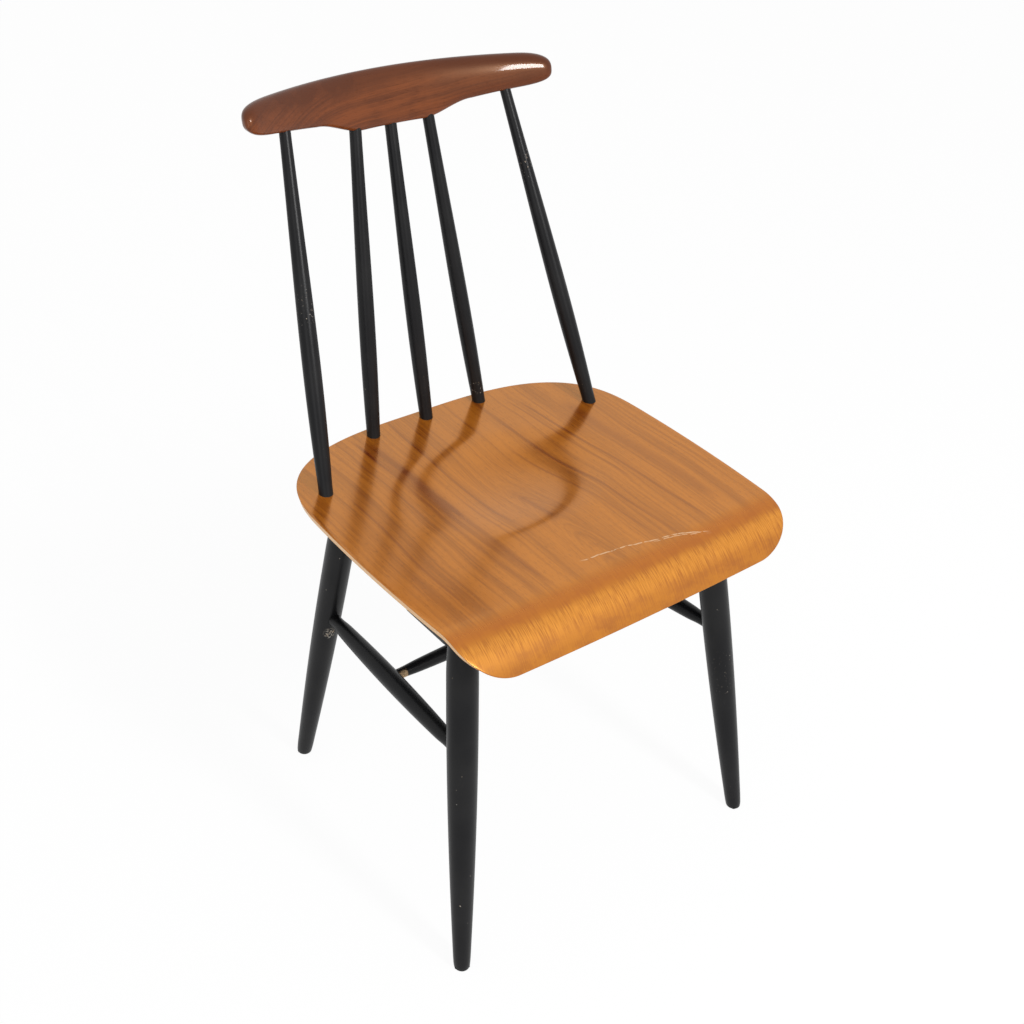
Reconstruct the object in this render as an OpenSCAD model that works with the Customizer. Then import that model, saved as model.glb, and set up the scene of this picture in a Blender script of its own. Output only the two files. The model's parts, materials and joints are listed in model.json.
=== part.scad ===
// Dining chair with a moulded plywood seat, five turned back spindles, a shaped
// crest rail and four splayed turned legs tied by an H of stretchers.
// Millimetres, +Z up, front towards -Y. The origin is on the floor, in the middle
// of the chair's width and depth.

/* [Seat] */
// Height of the seat rim above the floor
seat_h = 437.5; // [400:0.5:480]
// Half of the widest part of the seat
seat_half_w = 225; // [200:0.5:250]
// Line across the seat that its stations are measured from
seat_mid_y = -19; // [-40:0.5:10]
// From that line back to the rear edge
seat_back = 179.6; // [160:0.1:200]
// From that line forward to where the lip starts to bend
seat_flat = 166.7; // [140:0.1:190]
// Radius of the bent front lip, on its upper side
lip_r = 65.6; // [45:0.1:90]
// Angle the lip turns through
lip_angle = 59; // [40:1:80]
// Straight run after the bend
lip_end = 6; // [2:0.5:15]
// Corner radius at the front of the pressed sheet
front_corner = 50.5; // [30:0.5:70]
// Reach of the rear corner curve across the width
rear_corner_w = 204; // [120:1:215]
// Reach of the rear corner curve along the depth
rear_corner_d = 139.6; // [90:0.1:160]
// Fullness of the rear corner curve
rear_full = 2.88; // [2:0.02:4]
// Thickness of the plywood with both veneers
seat_t = 8; // [6:0.5:12]
// Thickness of each outer veneer
veneer_t = 0.8; // [0.6:0.1:1.5]
// How far the edge is undercut
edge_bevel = 2; // [0:0.5:5]
// Sag of the sheet between its two sides
side_sag = 5; // [0:0.5:10]
// Extra depth of the pressed bowl
bowl_depth = 9; // [0:0.5:14]

/* [Back] */
// Foot of an outer spindle, sideways
outer_foot_x = 184.9; // [170:0.1:195]
// Foot of an outer spindle, front to back
outer_foot_y = 70; // [40:0.5:80]
// Foot of an inner spindle, sideways
inner_foot_x = 75.1; // [50:0.1:95]
// Foot of an inner spindle, front to back
inner_foot_y = 143.3; // [120:0.1:146]
// Foot of the middle spindle, front to back
mid_foot_y = 146.2; // [125:0.1:148]
// Top of an outer spindle, sideways
outer_top_x = 141.4; // [120:0.1:160]
// Top of an outer spindle, front to back
outer_top_y = 210.8; // [180:0.1:230]
// Top of an inner spindle, sideways
inner_top_x = 47.5; // [30:0.1:70]
// Top of an inner spindle, front to back
inner_top_y = 225.4; // [200:0.1:240]
// Top of the middle spindle, front to back
mid_top_y = 228.6; // [205:0.1:240]
// Thickest part of a spindle
spindle_d = 19.5; // [14:0.1:24]
// How much slimmer the three inner spindles are
spindle_slim = 1.2; // [0:0.1:3]
// Outer spindle where it enters the rail
spindle_top_d = 12.2; // [9:0.1:14]
// How much thicker the three inner spindles are there
spindle_top_more = 1; // [0:0.1:2]
// Spindle where it enters the seat
spindle_foot_d = 15.4; // [12:0.1:18]
// Turned tenon under the seat
spindle_tenon_d = 10; // [7:0.5:11]
// How far a spindle runs into the rail
rail_socket = 18; // [10:0.5:22]

/* [Crest rail] */
// Height of the top edge above the seat rim
rail_top = 377.9; // [330:0.1:430]
// Half of the rail's length
rail_half_l = 193.7; // [170:0.1:225]
// Depth of the rail at its middle
rail_mid_h = 57.1; // [40:0.1:75]
// Thickness of the rail
rail_t = 20; // [15:0.5:26]
// Length over which each end of the rail rounds off
rail_end = 41.6; // [20:0.2:60]
// Bend of the rail in plan, as rise over length squared
rail_bend = 0.00107; // [0.0004:0.00002:0.002]
// Backward lean of the rail, as run over rise
rail_lean = 0.25; // [0.1:0.01:0.4]
// How much the underside steps up beyond the inner spindles
rail_step = 15.2; // [5:0.1:24]

/* [Legs] */
// Foot of a front leg, sideways
front_foot_x = 211; // [190:0.5:230]
// Foot of a front leg, in front of the middle
front_foot_y = 242.7; // [215:0.1:265]
// Foot of a rear leg, sideways
rear_foot_x = 177.5; // [160:0.5:200]
// Foot of a rear leg, behind the middle
rear_foot_y = 139; // [115:0.5:165]
// Front leg under the seat, sideways
front_head_x = 168.6; // [155:0.1:180]
// Front leg under the seat, in front of the middle
front_head_y = 155.8; // [140:0.1:165]
// Rear leg under the seat, sideways
rear_head_x = 155.3; // [140:0.1:165]
// Rear leg under the seat, behind the middle
rear_head_y = 73.2; // [60:0.1:85]
// Thickest part of a leg
leg_d = 33.2; // [24:0.2:40]
// How much slimmer the rear legs are
rear_leg_slim = 1.6; // [0:0.1:4]
// Leg where it enters the batten
leg_head_d = 24; // [18:0.2:30]
// Leg at the floor
leg_foot_d = 18.6; // [14:0.2:24]
// How far a leg runs into its batten
leg_socket = 15; // [8:0.5:17]

/* [Stretchers] */
// Height at which the side stretchers meet the front legs
stretch_front_z = 259; // [180:1:300]
// Height at which the side stretchers meet the rear legs
stretch_rear_z = 241.6; // [180:0.1:300]
// Thickest part of a side stretcher
side_stretch_d = 22; // [16:0.2:26]
// Side stretcher where it enters a leg
side_tenon_d = 15; // [10:0.2:17]
// Thickest part of the cross stretcher
cross_stretch_d = 18.8; // [14:0.2:22]
// Cross stretcher where it enters a side stretcher
cross_tenon_d = 12; // [8:0.2:13]
// Place of the cross stretcher, as a share from rear to front
cross_share = 0.49; // [0.35:0.01:0.65]

/* [Battens] */
// From the seat rim down to the underside of the battens
batten_drop = 31; // [26:0.5:38]
// Front edge of the front batten, in front of the middle
batten_front_y = 184; // [180:0.5:185]
// Width of the front batten
batten_w = 80; // [56:1:84]
// Half of the front batten's length
batten_half_l = 205.5; // [190:0.5:212]
// Corner radius of the front batten
batten_corner = 10; // [5:0.5:35]
// Rear batten inside the seat's sides
rear_inset_x = 18; // [14:0.5:22]
// Rear batten inside the seat's rear edge
rear_inset_y = 6.6; // [5:0.1:8]
// Front edge of the rear batten's ends
rear_arm_y = 44; // [35:0.5:52]
// Radius of the hollow in the rear batten
hollow_r = 188; // [150:1:230]
// Front-to-back depth of the rear batten at its middle
rear_mid_w = 56; // [45:0.5:58]

/* [Screws] */
// Shank of a batten screw
screw_d = 4; // [3:0.5:5]
// Head of a batten screw
screw_head_d = 8; // [6:0.5:10]

/* [Fits] */
// Gap all round a spindle in the seat and the rail
spindle_gap = 0.1; // [0.05:0.05:0.3]
// Gap all round a leg or stretcher in its socket
leg_gap = 0.1; // [0.05:0.05:0.3]
// Glue line between two layers
glue = 0.1; // [0.05:0.05:0.2]

/* [Hidden] */
$fn = 96;
black = [0.13, 0.13, 0.14];
teak = [0.45, 0.24, 0.14];
face = [0.73, 0.46, 0.22];
birch = [0.88, 0.72, 0.51];
steel = [0.62, 0.62, 0.64];
bare = 0.02; // smallest gap kept between faces that would touch
bowl_y = -10;
bowl_rx = 150;
bowl_ry = 96;
across = 28;
lip_arc = lip_r * lip_angle * PI / 180;
seat_front = seat_flat + lip_arc + lip_end;
batten_z = seat_h - batten_drop;
under_rim = seat_h - seat_t - glue;
sag_steps = 32;
rail_top_z = seat_h + rail_top;
rail_low_z = rail_top_z - rail_mid_h;
rail_ring = 24;
rail_y = mid_top_y;
outer_top_z = seat_h + 339;
inner_top_z = seat_h + 318.5;
mid_top_z = seat_h + 316.5;
screw_l = batten_drop - seat_t + 1.4;
socket_past = 6; // how far a stretcher runs past the middle of a leg
cross_past = 3; // how far the cross stretcher runs past a side stretcher's middle
front_screws = [[-128, -148], [-52, -148], [52, -148], [128, -148]];
rear_screws = [[-112, 108], [-36, 122], [36, 122], [112, 108]];

// Points on the axes of the turned pieces, for the right-hand side
outer_foot = [outer_foot_x, outer_foot_y, seat_h + 1.2];
outer_head = [outer_top_x, outer_top_y, outer_top_z];
inner_foot = [inner_foot_x, inner_foot_y, seat_h - 4.6];
inner_head = [inner_top_x, inner_top_y, inner_top_z];
mid_foot = [0, mid_foot_y, seat_h - 3.2];
mid_head = [0, mid_top_y, mid_top_z];
front_foot = [front_foot_x, -front_foot_y, 0];
front_head = [front_head_x, -front_head_y, batten_z];
rear_foot = [rear_foot_x, rear_foot_y, 0];
rear_head = [rear_head_x, rear_head_y, batten_z];
front_joint = at_z(front_foot, front_head, stretch_front_z);
rear_joint = at_z(rear_foot, rear_head, stretch_rear_z);
cross_joint = rear_joint + (front_joint - rear_joint) * cross_share;

function at_z(a, b, z) = a + (b - a) * (z - a.z) / (b.z - a.z);
function left(p) = [-p.x, p.y, p.z];
function unit_step(u) = let (c = max(0, min(1, u))) c * c * (3 - 2 * c);

// Half-width of the pressed sheet at a station, inset all round by i
function rear_cut(t) = let (u = (rear_corner_d - seat_back - t) / rear_corner_d)
    t < rear_corner_d - seat_back
        ? rear_corner_w * (1 - pow(max(0, 1 - pow(min(1, u), rear_full)), 1 / rear_full))
        : 0;
function front_cut(t) = let (u = min(1, (t - seat_front + front_corner) / front_corner))
    u > 0 ? front_corner * (1 - sqrt(max(0, 1 - u * u))) : 0;
function half_w(t) = seat_half_w - 5.8 * pow((t - 50) / 150, 2) - rear_cut(t) - front_cut(t);

// Height lost to the sag between the sides and to the bowl
function sag(x) = side_sag * (1 - pow(x / seat_half_w, 2));
function bowl(x, y) = let (q = pow(x / bowl_rx, 2) + pow((y - bowl_y) / bowl_ry, 2))
    q < 1 ? bowl_depth * pow(1 - q, 2) : 0;

// A point of the sheet: x across, station t, depth d below the upper face
function sheet(x, t, d) =
    let (
        a = min(lip_angle, max(0, (t - seat_flat) / lip_r * 180 / PI)),
        run = max(0, t - seat_flat - lip_arc),
        y = seat_mid_y - min(t, seat_flat) - (lip_r - d) * sin(a) - run * cos(a),
        z = seat_h - lip_r + (lip_r - d) * cos(a) - run * sin(a)
    )
    [x, y, z - sag(x) - bowl(x, y)];

// Stations from the rear edge to the front edge, closer where the edge turns
stations = [
    for (i = [0:9]) rear_corner_d * (1 - cos(i * 9)) - seat_back,
    for (i = [0:9]) rear_corner_d - seat_back + (seat_flat + seat_back - rear_corner_d) * i / 10,
    for (i = [0:10]) seat_flat + (seat_front - seat_flat) * sin(i * 9)
];
rows = len(stations);

function shrink(t, i) = (t + seat_back) / (seat_front + seat_back) * (seat_front + seat_back - 2 * i)
    - seat_back + i;
function layer_points(d) = let (i = edge_bevel * d / seat_t) [
    for (t = stations) for (c = [0:across])
        sheet((half_w(t) - i) * (2 * c / across - 1), shrink(t, i), d)
];

// A closed shell from depth a to depth b
module layer(a, b) {
    side = across + 1;
    n = rows * side;
    polyhedron(
        points = concat(layer_points(a), layer_points(b)),
        faces = [
            for (r = [0:rows - 2]) for (c = [0:across - 1]) let (k = r * side + c)
                each [[k, k + 1, k + side], [k + 1, k + side + 1, k + side],
                    [n + k, n + k + side, n + k + 1],
                    [n + k + 1, n + k + side, n + k + side + 1]],
            for (r = [0:rows - 2]) let (k = r * side, m = k + across)
                each [[k, k + side, n + k], [k + side, n + k + side, n + k],
                    [m, n + m, m + side], [m + side, n + m, n + m + side]],
            for (c = [0:across - 1]) let (m = (rows - 1) * side + c)
                each [[c, n + c, c + 1], [c + 1, n + c, n + c + 1],
                    [m, m + 1, n + m], [m + 1, n + m + 1, n + m]]
        ],
        convexity = 6
    );
}

// Puts a child's own z axis along the line from a to b
module along(a, b) {
    v = b - a;
    translate(a) rotate([0, acos(v.z / norm(v)), atan2(v.y, v.x)]) children();
}

module turned(profile) {
    rotate_extrude() polygon(concat([[0, profile[0].y]], profile, [[0, profile[len(profile) - 1].y]]));
}

module spindle_holes(d, from, to) {
    for (s = [-1, 1]) {
        hole(mirror_x(outer_foot, s), mirror_x(outer_head, s), d, from, to);
        hole(mirror_x(inner_foot, s), mirror_x(inner_head, s), d, from, to);
    }
    hole(mid_foot, mid_head, d, from, to);
}

module hole(a, b, d, from, to) {
    along(a, b) translate([0, 0, from]) cylinder(d = d, h = to - from);
}

function mirror_x(p, s) = [s * p.x, p.y, p.z];

module screw_holes(spots, d) {
    for (p = spots) translate([p.x, p.y, batten_z - 1]) cylinder(d = d, h = screw_l + 1.5);
}

module seat_cuts() {
    spindle_holes(spindle_foot_d + 2 * spindle_gap, -25, 12);
}

module seat_face_veneer() {
    color(face) difference() {
        layer(0, veneer_t);
        seat_cuts();
    }
}

module seat_core() {
    color(birch) difference() {
        layer(veneer_t + bare, seat_t - veneer_t - bare);
        seat_cuts();
        screw_holes(front_screws, screw_d + bare);
        screw_holes(rear_screws, screw_d + bare);
    }
}

module seat_back_veneer() {
    color(black) difference() {
        layer(seat_t - veneer_t, seat_t);
        seat_cuts();
        screw_holes(front_screws, screw_d + bare);
        screw_holes(rear_screws, screw_d + bare);
    }
}

// Slab from the underside of the battens up to the sagging underside of the seat
module under_slab(front, back) {
    xs = [for (i = [0:sag_steps]) seat_half_w * (2 * i / sag_steps - 1)];
    translate([0, back, 0]) rotate([90, 0, 0]) linear_extrude(height = back - front)
        polygon(concat([[-seat_half_w, batten_z], [seat_half_w, batten_z]],
            [for (i = [sag_steps:-1:0]) [xs[i], under_rim - sag(xs[i])]]));
}

module screw_seats(spots) {
    screw_holes(spots, screw_d + 0.4);
    for (p = spots) translate([p.x, p.y, batten_z - bare])
        cylinder(d1 = screw_head_d + 0.4, d2 = screw_d + 0.4, h = screw_head_d / 2);
}

module leg_sockets(foot, head) {
    for (s = [-1, 1]) hole(mirror_x(head, s), mirror_x(foot, s), leg_head_d + 2 * leg_gap, -leg_socket - 1, 40);
}

module front_batten() {
    r = batten_corner;
    color(black) difference() {
        intersection() {
            under_slab(-batten_front_y, batten_w - batten_front_y);
            translate([0, -batten_front_y, batten_z]) union() {
                translate([-batten_half_l, r, 0]) cube([2 * batten_half_l, batten_w - 2 * r, batten_drop]);
                translate([r - batten_half_l, 0, 0]) cube([2 * (batten_half_l - r), batten_w, batten_drop]);
                for (x = [-1, 1]) for (y = [r, batten_w - r])
                    translate([x * (batten_half_l - r), y, 0]) cylinder(r = r, h = batten_drop);
            }
        }
        leg_sockets(front_foot, front_head);
        screw_seats(front_screws);
    }
}

module rear_batten() {
    ts = [for (i = [0:16]) let (t = rear_corner_d * (1 - cos(i * 5)) - seat_back) t];
    edge = [for (t = ts) [half_w(t) - rear_inset_x,
        seat_mid_y - t - rear_inset_y * (1 - unit_step((t + seat_back) / 60))]];
    kept = [for (p = edge) if (p.y > rear_arm_y + 4 && p.x > 5) p];
    end_x = kept[len(kept) - 1].x;
    outline = concat([[end_x, rear_arm_y]], [for (i = [len(kept) - 1:-1:0]) kept[i]],
        [for (p = kept) [-p.x, p.y]], [[-end_x, rear_arm_y]]);
    back_y = seat_mid_y + seat_back - rear_inset_y;
    color(black) difference() {
        intersection() {
            under_slab(0, back_y + 5);
            translate([0, 0, batten_z]) linear_extrude(height = batten_drop) polygon(outline);
        }
        translate([0, back_y - rear_mid_w - hollow_r, batten_z - 1]) cylinder(r = hollow_r, h = batten_drop + 2);
        leg_sockets(rear_foot, rear_head);
        spindle_holes(spindle_tenon_d + 2 * spindle_gap, -24, 12);
        screw_seats(rear_screws);
    }
}

// Underside and top of the rail, and the shape of its section, along x
function rail_low(x) = let (u = abs(x))
    rail_low_z + rail_step * unit_step((u - 39) / 63) + 0.135 * max(0, u - 100);
function end_round(x, r, p) = let (u = max(0, (abs(x) - rail_half_l + r) / r))
    pow(max(0.0005, 1 - pow(min(1, u), p)), 1 / p);
function rail_point(x, a) =
    let (
        low = rail_low(x),
        half_h = (rail_top_z - low) / 2 * end_round(x, rail_end, 3.03),
        half_t = rail_t / 2 * sqrt(1 + pow(2 * rail_bend * x, 2)) * end_round(x, 15.8, 2.46),
        mid = (rail_top_z + low) / 2,
        ca = cos(a),
        sa = sin(a),
        fat = sa < 0 ? 0.55 : 0.92,
        z = mid + half_h * sign(sa) * pow(abs(sa), fat),
        y = half_t * sign(ca) * pow(abs(ca), fat)
    )
    [x, rail_y - rail_bend * x * x + rail_lean * (z - mid_top_z) + y, z];

module rail_body() {
    straight = rail_half_l - rail_end;
    half = concat([for (v = [0, 16, 32, 40, 48, 56, 64, 72, 80, 90, 102, 116, 134]) v / 152 * straight],
        [for (i = [0:9]) straight + rail_end * sin(i * 10)]);
    count = len(half);
    xs = concat([for (i = [count - 1:-1:1]) -half[i]], half);
    m = len(xs);
    polyhedron(
        points = [for (x = xs) for (j = [0:rail_ring - 1]) rail_point(x, j * 360 / rail_ring)],
        faces = concat(
            [for (i = [0:m - 2]) for (j = [0:rail_ring - 1])
                let (k = i * rail_ring + j, l = i * rail_ring + (j + 1) % rail_ring)
                each [[k, k + rail_ring, l], [l, k + rail_ring, l + rail_ring]]],
            [for (j = [1:rail_ring - 2]) [0, j, j + 1]],
            [for (j = [1:rail_ring - 2]) let (k = (m - 1) * rail_ring) [k, k + j + 1, k + j]]
        ),
        convexity = 4
    );
}

module crest_rail() {
    color(teak) difference() {
        rail_body();
        for (s = [-1, 1]) {
            socket(mirror_x(outer_head, s), mirror_x(outer_foot, s), 0);
            socket(mirror_x(inner_head, s), mirror_x(inner_foot, s), spindle_top_more);
        }
        socket(mid_head, mid_foot, spindle_top_more);
    }
}

module socket(head, foot, more) {
    along(foot, head) translate([0, 0, norm(head - foot) - 20])
        cylinder(d = spindle_top_d + more + 2 * spindle_gap, h = 20 + rail_socket + 1);
}

// Radius along a spindle at share s of the way from seat to rail
function spindle_r(s, thick, top) =
    s < 0.33
        ? spindle_foot_d / 2 + (thick - spindle_foot_d) / 2 * sin(90 * s / 0.33)
        : top / 2 + (thick - top) / 2 * (1 - unit_step((s - 0.33) / 0.80) / unit_step(0.67 / 0.80));

module spindle(foot, head, thick, more) {
    top = spindle_top_d + more;
    l = norm(head - foot);
    tilt = (head.z - foot.z) / l;
    lean = sqrt(1 - tilt * tilt) / tilt;
    shoulder = -(foot.z - under_rim + sag(foot.x)) / tilt + spindle_foot_d / 2 * lean + bare;
    color(black) along(foot, head) turned(concat(
        [[spindle_tenon_d / 2, shoulder - 12], [spindle_tenon_d / 2, shoulder], [spindle_foot_d / 2, shoulder]],
        [for (i = [0:14]) [spindle_r(i / 14, thick, top), i == 0 ? 1.5 : l * i / 14]],
        [[top / 2, l + rail_socket]]
    ));
}

module spindle_left_outer() { spindle(left(outer_foot), left(outer_head), spindle_d, 0); }
module spindle_left_inner() { spindle(left(inner_foot), left(inner_head), spindle_d - spindle_slim, spindle_top_more); }
module spindle_middle() { spindle(mid_foot, mid_head, spindle_d - spindle_slim, spindle_top_more); }
module spindle_right_inner() { spindle(inner_foot, inner_head, spindle_d - spindle_slim, spindle_top_more); }
module spindle_right_outer() { spindle(outer_foot, outer_head, spindle_d, 0); }

// A leg, from below the floor line up to its socket; the floor trims it level
module leg(foot, head, thick, near, far) {
    l = norm(head - foot);
    r0 = leg_foot_d / 2;
    r1 = thick / 2;
    color(black) difference() {
        along(foot, head) rotate([0, 0, 50]) turned(concat(
            [[r0, -6], [r0, 6]],
            [for (i = [1:10]) [r0 + (r1 - r0) * sin(90 * pow(i / 10, 0.92)), 6 + 0.76 * l * i / 10]],
            [[r1, 0.84 * l], [r1 - 0.6, 0.9 * l], [leg_head_d / 2 + 1.5, 0.96 * l], [leg_head_d / 2, 0.985 * l],
                [leg_head_d / 2, l + leg_socket]]
        ));
        translate([foot.x - 40, foot.y - 40, -20]) cube([80, 80, 20]);
        side_hole(near, far);
    }
}

// Bore for a side stretcher, past the middle of the leg
module side_hole(near, far) {
    along(far, near) translate([0, 0, norm(near - far) - 30])
        cylinder(d = side_tenon_d + 2 * leg_gap, h = 30 + socket_past + 0.5);
}

module leg_front_left() { leg(left(front_foot), left(front_head), leg_d, left(front_joint), left(rear_joint)); }
module leg_front_right() { leg(front_foot, front_head, leg_d, front_joint, rear_joint); }
module leg_rear_left() { leg(left(rear_foot), left(rear_head), leg_d - rear_leg_slim, left(rear_joint), left(front_joint)); }
module leg_rear_right() { leg(rear_foot, rear_head, leg_d - rear_leg_slim, rear_joint, front_joint); }

module turned_bar(a, b, thick, end, hidden, past) {
    l = norm(b - a);
    v = l - 2 * hidden;
    color(black) along(a, b) turned(concat(
        [[end / 2, -past], [end / 2, hidden]],
        [for (i = [1:11]) [end / 2 + (thick - end) / 2 * pow(sin(180 * i / 12), 0.72), hidden + v * i / 12]],
        [[end / 2, l - hidden], [end / 2, l + past]]
    ));
}

module side_stretcher(s) {
    a = mirror_x(rear_joint, s);
    b = mirror_x(front_joint, s);
    c = mirror_x(cross_joint, s);
    difference() {
        turned_bar(a, b, side_stretch_d, side_tenon_d, leg_d / 2 + 3, socket_past);
        along(mirror_x(c, -1), c) translate([0, 0, 2 * cross_joint.x - 20])
            cylinder(d = cross_tenon_d + 2 * leg_gap, h = 20 + cross_past + 0.5);
    }
}

module side_stretcher_left() { side_stretcher(-1); }
module side_stretcher_right() { side_stretcher(1); }
module cross_stretcher() {
    turned_bar(left(cross_joint), cross_joint, cross_stretch_d, cross_tenon_d, side_stretch_d / 2, cross_past);
}

module batten_screw() {
    cylinder(d1 = screw_head_d, d2 = screw_d, h = (screw_head_d - screw_d) / 2);
    cylinder(d = screw_d, h = screw_l - 2);
    translate([0, 0, screw_l - 2]) cylinder(d1 = screw_d, d2 = 1, h = 2 - bare);
}

module batten_screws_front() {
    color(steel) for (p = front_screws) translate([p.x, p.y, batten_z + 0.3]) batten_screw();
}

module batten_screws_rear() {
    color(steel) for (p = rear_screws) translate([p.x, p.y, batten_z + 0.3]) batten_screw();
}

seat_face_veneer();
seat_core();
seat_back_veneer();
front_batten();
rear_batten();
crest_rail();
spindle_left_outer();
spindle_left_inner();
spindle_middle();
spindle_right_inner();
spindle_right_outer();
leg_front_left();
leg_front_right();
leg_rear_left();
leg_rear_right();
side_stretcher_left();
side_stretcher_right();
cross_stretcher();
batten_screws_front();
batten_screws_rear();
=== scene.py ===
"""Dining chair: pressed plywood seat, turned spindle back, shaped crest rail, splayed turned legs.

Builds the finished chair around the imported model, in metres. +Z is up and the front faces -Y.
"""

import json
import math

import bmesh
import bpy
import numpy as np
from bpy.props import FloatProperty, FloatVectorProperty, IntProperty, PointerProperty
from mathutils import Matrix, Vector

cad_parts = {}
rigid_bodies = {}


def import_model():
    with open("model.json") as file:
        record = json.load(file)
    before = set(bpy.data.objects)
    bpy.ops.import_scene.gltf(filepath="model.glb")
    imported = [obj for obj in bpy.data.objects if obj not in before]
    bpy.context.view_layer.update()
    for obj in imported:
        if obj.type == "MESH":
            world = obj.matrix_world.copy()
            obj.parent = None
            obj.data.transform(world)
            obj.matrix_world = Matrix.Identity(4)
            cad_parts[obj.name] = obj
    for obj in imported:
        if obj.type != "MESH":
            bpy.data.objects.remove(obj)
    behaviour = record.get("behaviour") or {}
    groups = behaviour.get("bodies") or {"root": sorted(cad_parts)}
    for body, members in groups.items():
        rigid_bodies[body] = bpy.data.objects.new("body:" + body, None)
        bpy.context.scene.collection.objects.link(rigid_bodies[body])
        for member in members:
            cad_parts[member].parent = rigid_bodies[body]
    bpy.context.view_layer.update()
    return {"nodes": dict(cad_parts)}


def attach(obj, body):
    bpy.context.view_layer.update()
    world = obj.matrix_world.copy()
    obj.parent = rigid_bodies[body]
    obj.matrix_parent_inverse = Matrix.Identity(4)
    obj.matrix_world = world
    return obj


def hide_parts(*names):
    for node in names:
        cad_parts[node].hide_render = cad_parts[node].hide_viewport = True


bl_info = {
    "name": "Spindle back dining chair",
    "version": (1, 0, 0),
    "blender": (4, 5, 0),
    "location": "View3D > Sidebar > Chair",
    "description": "Builds a dining chair with a pressed plywood seat and a turned spindle back",
    "category": "Object",
}

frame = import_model()
BODY = "root"

# ---- sizes and colours


def number(name, text, default, **more):
    return FloatProperty(name=name, description=text, default=default, **more)


def length(name, text, default):
    return number(name, text, default, subtype="DISTANCE", unit="LENGTH", precision=4)


def angle(name, text, degrees):
    return number(name, text, math.radians(degrees), subtype="ANGLE", unit="ROTATION")


def colour(name, text, default):
    return FloatVectorProperty(
        name=name, description=text, default=default, subtype="COLOR", min=0.0, max=1.0
    )


class ChairSeat(bpy.types.PropertyGroup):
    rim_height: length("Rim height", "Height of the seat's rim above the floor", 0.4375)
    half_width: length("Half width", "Half of the widest part of the seat", 0.225)
    middle_y: length("Middle line", "Line across the seat that its stations are measured from", -0.019)
    back: length("Back", "From the middle line to the rear edge", 0.1796)
    flat: length("Flat", "From the middle line to where the front lip starts to bend", 0.1667)
    lip_radius: length("Lip radius", "Radius of the bent front lip", 0.0656)
    lip_angle: angle("Lip angle", "Angle the lip turns through", 59)
    lip_end: length("Lip end", "Straight run after the bend", 0.006)
    front_corner: length("Front corner", "Corner radius at the front of the pressed sheet", 0.0505)
    rear_corner_w: length("Rear corner width", "Reach of the rear corner curve across the seat", 0.204)
    rear_corner_d: length("Rear corner depth", "Reach of the rear corner curve along the seat", 0.1396)
    rear_full: number("Rear fullness", "Fullness of the rear corner curve", 2.88)
    thickness: length("Thickness", "Thickness of the plywood with both veneers", 0.008)
    veneer: length("Veneer", "Thickness of each outer veneer", 0.0008)
    undercut: length("Undercut", "How far the edge slopes inwards below", 0.002)
    sag: length("Sag", "Sag of the sheet between its sides", 0.005)
    bowl: length("Bowl", "Extra depth of the pressed bowl", 0.009)
    columns: IntProperty(name="Columns", description="Divisions across the seat", default=96, min=16, max=240)


class ChairBack(bpy.types.PropertyGroup):
    spindle: length("Spindle", "Thickest part of an outer spindle", 0.0195)
    spindle_slim: length("Slimmer by", "How much slimmer the three inner spindles are", 0.0012)
    spindle_top: length("Spindle top", "Outer spindle where it enters the rail", 0.0122)
    spindle_top_more: length("Inner tops", "How much thicker the three inner spindles are there", 0.001)
    spindle_foot: length("Spindle foot", "Spindle where it enters the seat", 0.0154)
    rail_socket: length("Rail socket", "How far a spindle runs into the rail", 0.018)
    rail_top: length("Rail top", "Height of the rail's top edge above the seat's rim", 0.3779)
    rail_half: length("Rail half length", "Half of the rail's length", 0.1937)
    rail_depth: length("Rail depth", "Depth of the rail at its middle", 0.0571)
    rail_thick: length("Rail thickness", "Thickness of the rail", 0.020)
    rail_end: length("Rail end", "Length over which each end of the rail rounds off", 0.0416)
    rail_bend: number("Rail bend", "Bend in plan, as rise over length squared", 1.07)
    rail_lean: number("Rail lean", "Backward lean, as run over rise", 0.25)
    rail_step: length("Rail step", "Step of the underside beyond the inner spindles", 0.0152)


class ChairLegs(bpy.types.PropertyGroup):
    leg: length("Leg", "Thickest part of a front leg", 0.0332)
    rear_slim: length("Slimmer by", "How much slimmer the rear legs are", 0.0016)
    leg_foot: length("Leg foot", "Leg at the floor", 0.0186)
    leg_head: length("Leg head", "Leg where it enters the batten", 0.024)
    side: length("Side stretcher", "Thickest part of a side stretcher", 0.022)
    side_end: length("Side stretcher end", "Side stretcher where it enters a leg", 0.015)
    cross: length("Cross stretcher", "Thickest part of the cross stretcher", 0.0188)
    cross_end: length("Cross stretcher end", "Cross stretcher where it enters a side stretcher", 0.012)
    batten_drop: length("Batten drop", "From the seat's rim to the underside of the battens", 0.031)


class ChairColours(bpy.types.PropertyGroup):
    veneer_light: colour("Veneer, light", "Light wood of the seat's teak veneer", (0.37, 0.110, 0.009))
    veneer_dark: colour("Veneer, dark", "Dark streaks of the seat's teak veneer", (0.12, 0.014, 0.002))
    lip_gold: colour("Lip", "Golden wood of the bent front lip", (0.30, 0.089, 0.002))
    rail_light: colour("Rail, light", "Light wood of the crest rail", (0.155, 0.038, 0.009))
    rail_dark: colour("Rail, dark", "Dark grain of the crest rail", (0.055, 0.012, 0.004))
    birch: colour("Birch", "Light plies at the seat's edge and below it", (0.72, 0.42, 0.18))
    paint: colour("Paint", "Black paint of the turned pieces", (0.006, 0.006, 0.0068))
    bare: colour("Bare wood", "Wood that shows where the paint is gone", (0.50, 0.34, 0.19))
    steel: colour("Steel", "Screws", (0.55, 0.55, 0.56))


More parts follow.
